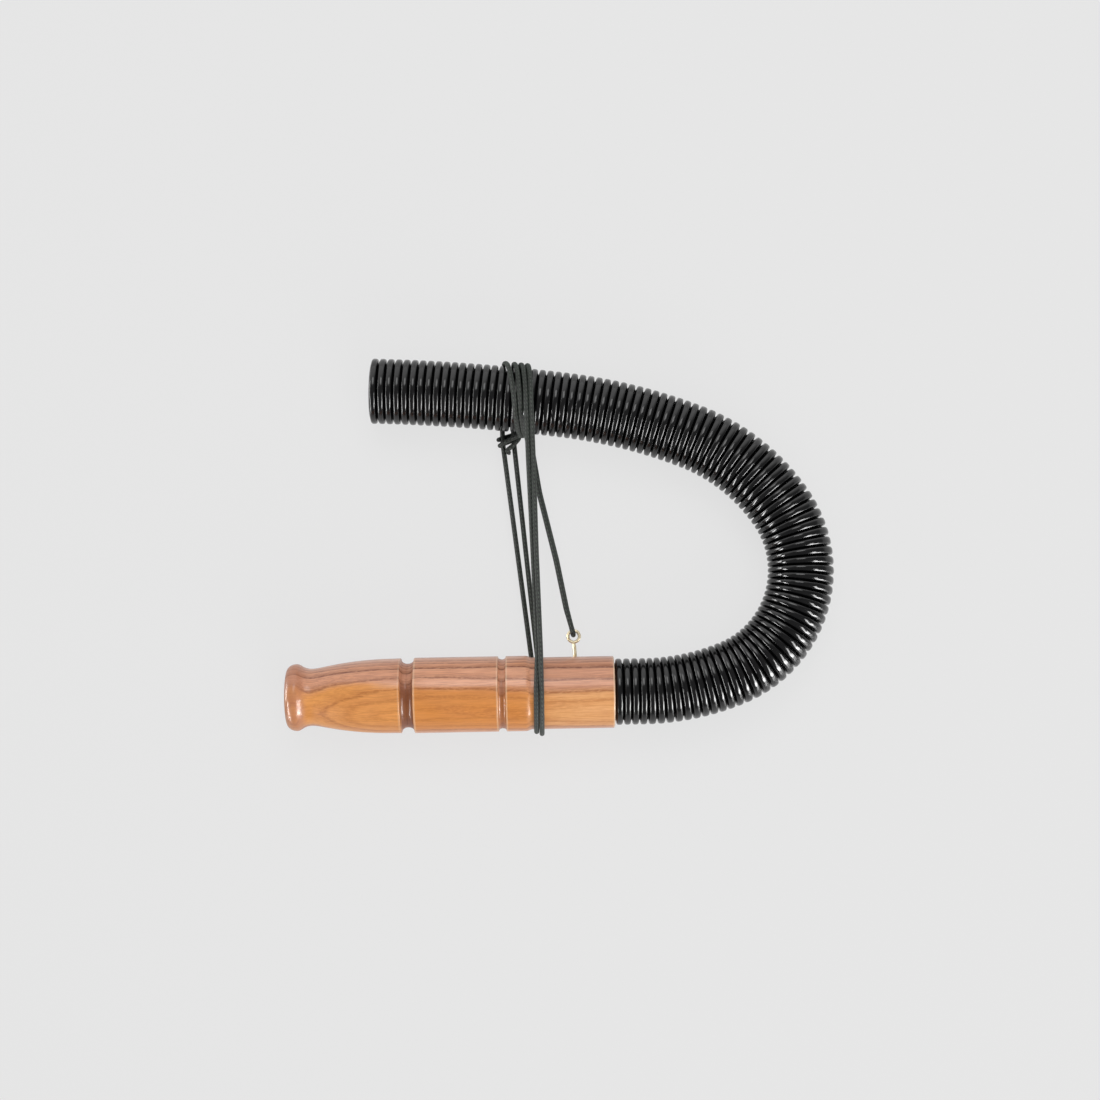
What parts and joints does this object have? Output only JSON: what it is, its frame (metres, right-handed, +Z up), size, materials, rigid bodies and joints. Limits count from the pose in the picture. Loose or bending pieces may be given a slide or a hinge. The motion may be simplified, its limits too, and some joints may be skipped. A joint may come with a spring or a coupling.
{
  "type": "wild boar call",
  "caption": "Turned wooden blowing call with a reed insert, a ribbed resonator hose bent back over it, a screw eye and a wound cord lanyard.",
  "frame": {"origin": "middle of the object's box, on the surface that it lies on", "axes": "+X along the wooden body from the mouthpiece towards the hose, +Y from the body towards the hose's returning run, +Z up"},
  "size_m": [0.2348, 0.1642, 0.035],
  "materials": {
    "wood": "clear satin lacquer over striped hardwood",
    "cork": "ground natural cork",
    "brass": "pale brass plate",
    "insert": "moulded black plastic",
    "rubber": "matt",
    "reed": "smooth thin sheet",
    "hose": "semi-gloss black",
    "cord": "fine braid"
  },
  "bodies": {
    "call": {"call_body": "wood", "screw_eye": "brass", "insert_base": "insert", "base_ring": "rubber", "reed_board": "insert", "reed_wedge": "cork", "hose": "hose", "lanyard": "cord", "lanyard_knot": "cord"},
    "mouthpiece": {"mouthpiece": "wood", "tenon_cork": "cork"},
    "reed": {"reed": "reed"},
    "tuning_ring": {"tuning_ring": "rubber"}
  },
  "joints": [
    {"name": "mouthpiece_pull", "type": "slide", "parent": "call", "child": "mouthpiece", "axis": [-1, 0, 0], "range_m": [0, 0.013]},
    {"name": "reed_flex", "type": "hinge", "parent": "call", "child": "reed", "pos_m": [-0.01766, -0.06455, 0.01855], "axis": [0, 1, 0], "range_deg": [-1.2, 0.6], "stiffness_Nm_per_rad": 0.012},
    {"name": "tuning_ring_slide", "type": "slide", "parent": "call", "child": "tuning_ring", "axis": [-1, 0, 0], "range_m": [0, 0.004]}
  ]
}
